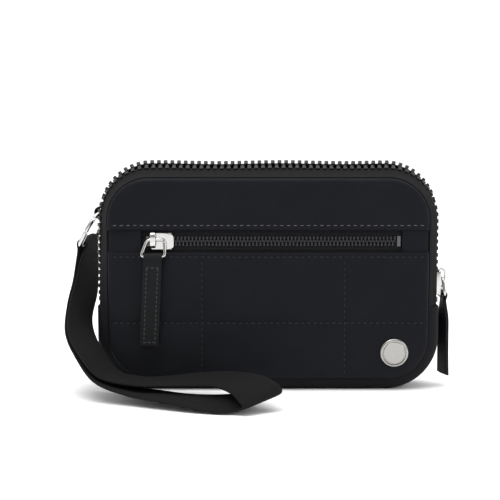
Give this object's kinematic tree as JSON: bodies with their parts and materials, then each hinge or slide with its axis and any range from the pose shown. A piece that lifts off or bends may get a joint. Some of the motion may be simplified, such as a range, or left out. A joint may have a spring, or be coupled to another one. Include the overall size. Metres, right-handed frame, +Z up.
{
  "type": "zip-around wristlet pouch",
  "caption": "Quilted zip-around wristlet pouch with a zipped front pocket, leather pulls, a round metal badge and a webbing wrist strap on a gated D-ring.",
  "frame": {"origin": "middle of the flat bottom that the pouch stands on", "axes": "+X to the right as seen from the front, -Y out of the front panel, +Z up"},
  "size_m": [0.211, 0.1079, 0.1257],
  "materials": {
    "nylon": "quilted black nylon twill, soft satin sheen",
    "lining": "plain woven lining, matt",
    "binding": "bias binding tape",
    "zip_tape": "herringbone zip tape",
    "zip_teeth": "moulded acetal teeth, satin black",
    "pocket_teeth": "blackened metal teeth",
    "silver_metal": "polished nickel plate",
    "stop_metal": "dull nickel plate",
    "badge_metal": "satin nickel disc",
    "pull_leather": "black leather with a fine grain",
    "webbing": "ribbed nylon webbing"
  },
  "bodies": {
    "shell": {"front_panel_lower": "nylon", "front_panel_yoke": "nylon", "pocket_end_tab_left": "nylon", "pocket_end_tab_right": "nylon", "front_lining": "lining", "front_seam_binding": "binding", "pocket_bag": "lining", "pocket_zip_tape_upper": "zip_tape", "pocket_zip_tape_lower": "zip_tape", "pocket_zip_teeth_upper": "pocket_teeth", "pocket_zip_teeth_lower": "pocket_teeth", "pocket_zip_stops": "stop_metal", "badge": "badge_metal", "badge_washer": "stop_metal", "gusset": "nylon", "gusset_lining": "lining", "main_zip_tape_front": "zip_tape", "main_zip_teeth_front": "zip_teeth", "main_zip_tape_back_sides": "zip_tape", "main_zip_teeth_back_sides": "zip_teeth", "main_zip_top_stops": "stop_metal", "main_zip_bottom_stop": "stop_metal", "back_panel_lower": "nylon", "back_lining_lower": "lining", "back_seam_binding_lower": "binding", "strap_tab": "webbing"},
    "back_flap": {"main_zip_tape_back_top": "zip_tape", "main_zip_teeth_back_top": "zip_teeth", "back_panel_flap": "nylon", "back_lining_flap": "lining", "back_seam_binding_flap": "binding"},
    "main_slider": {"main_zip_slider": "silver_metal"},
    "main_ring": {"main_pull_ring": "silver_metal"},
    "main_tab": {"main_pull_tab": "pull_leather"},
    "pocket_slider": {"pocket_zip_slider": "silver_metal"},
    "pocket_ring": {"pocket_pull_ring": "silver_metal"},
    "pocket_tab": {"pocket_pull_tab": "pull_leather"},
    "strap_ring": {"strap_d_ring": "silver_metal"},
    "ring_gate": {"d_ring_gate": "silver_metal"},
    "strap": {"wrist_strap": "webbing"}
  },
  "joints": [
    {"name": "mouth_open", "type": "hinge", "parent": "shell", "child": "back_flap", "pos_m": [0, 0.0155, 0.1], "axis": [-1, 0, 0], "range_deg": [-13.5, 40]},
    {"name": "main_zip_slide", "type": "slide", "parent": "shell", "child": "main_slider", "axis": [0, 0, 1], "range_m": [0, 0.024]},
    {"name": "main_ring_swing", "type": "hinge", "parent": "main_slider", "child": "main_ring", "pos_m": [0.09665, 0, 0.0608], "axis": [0, -1, 0], "range_deg": [0, 110]},
    {"name": "main_tab_swing", "type": "hinge", "parent": "main_ring", "child": "main_tab", "pos_m": [0.09761, 0, 0.05165], "axis": [0, -1, 0], "range_deg": [0, 70]},
    {"name": "pocket_zip_slide", "type": "slide", "parent": "shell", "child": "pocket_slider", "axis": [1, 0, 0], "range_m": [0, 0.118]},
    {"name": "pocket_ring_swing", "type": "hinge", "parent": "pocket_slider", "child": "pocket_ring", "pos_m": [-0.0626, -0.01615, 0.0833], "axis": [-1, 0, 0], "range_deg": [0, 110]},
    {"name": "pocket_tab_swing", "type": "hinge", "parent": "pocket_ring", "child": "pocket_tab", "pos_m": [-0.0626, -0.01791, 0.07427], "axis": [-1, 0, 0], "range_deg": [0, 60]},
    {"name": "strap_ring_swing", "type": "hinge", "parent": "shell", "child": "strap_ring", "pos_m": [-0.094, 0.015, 0.0965], "axis": [0.3101, 0.9403, 0.14], "range_deg": [0, 80]},
    {"name": "ring_gate_open", "type": "hinge", "parent": "strap_ring", "child": "ring_gate", "pos_m": [-0.09811, 0.0083, 0.09223], "axis": [0.8462, -0.2059, -0.4915], "range_deg": [0, 25], "stiffness_Nm_per_rad": 0.02},
    {"name": "strap_swing", "type": "hinge", "parent": "strap_ring", "child": "strap", "pos_m": [-0.10288, 0.02055, 0.07888], "axis": [0.3101, 0.9403, 0.14], "range_deg": [0, 80]}
  ]
}
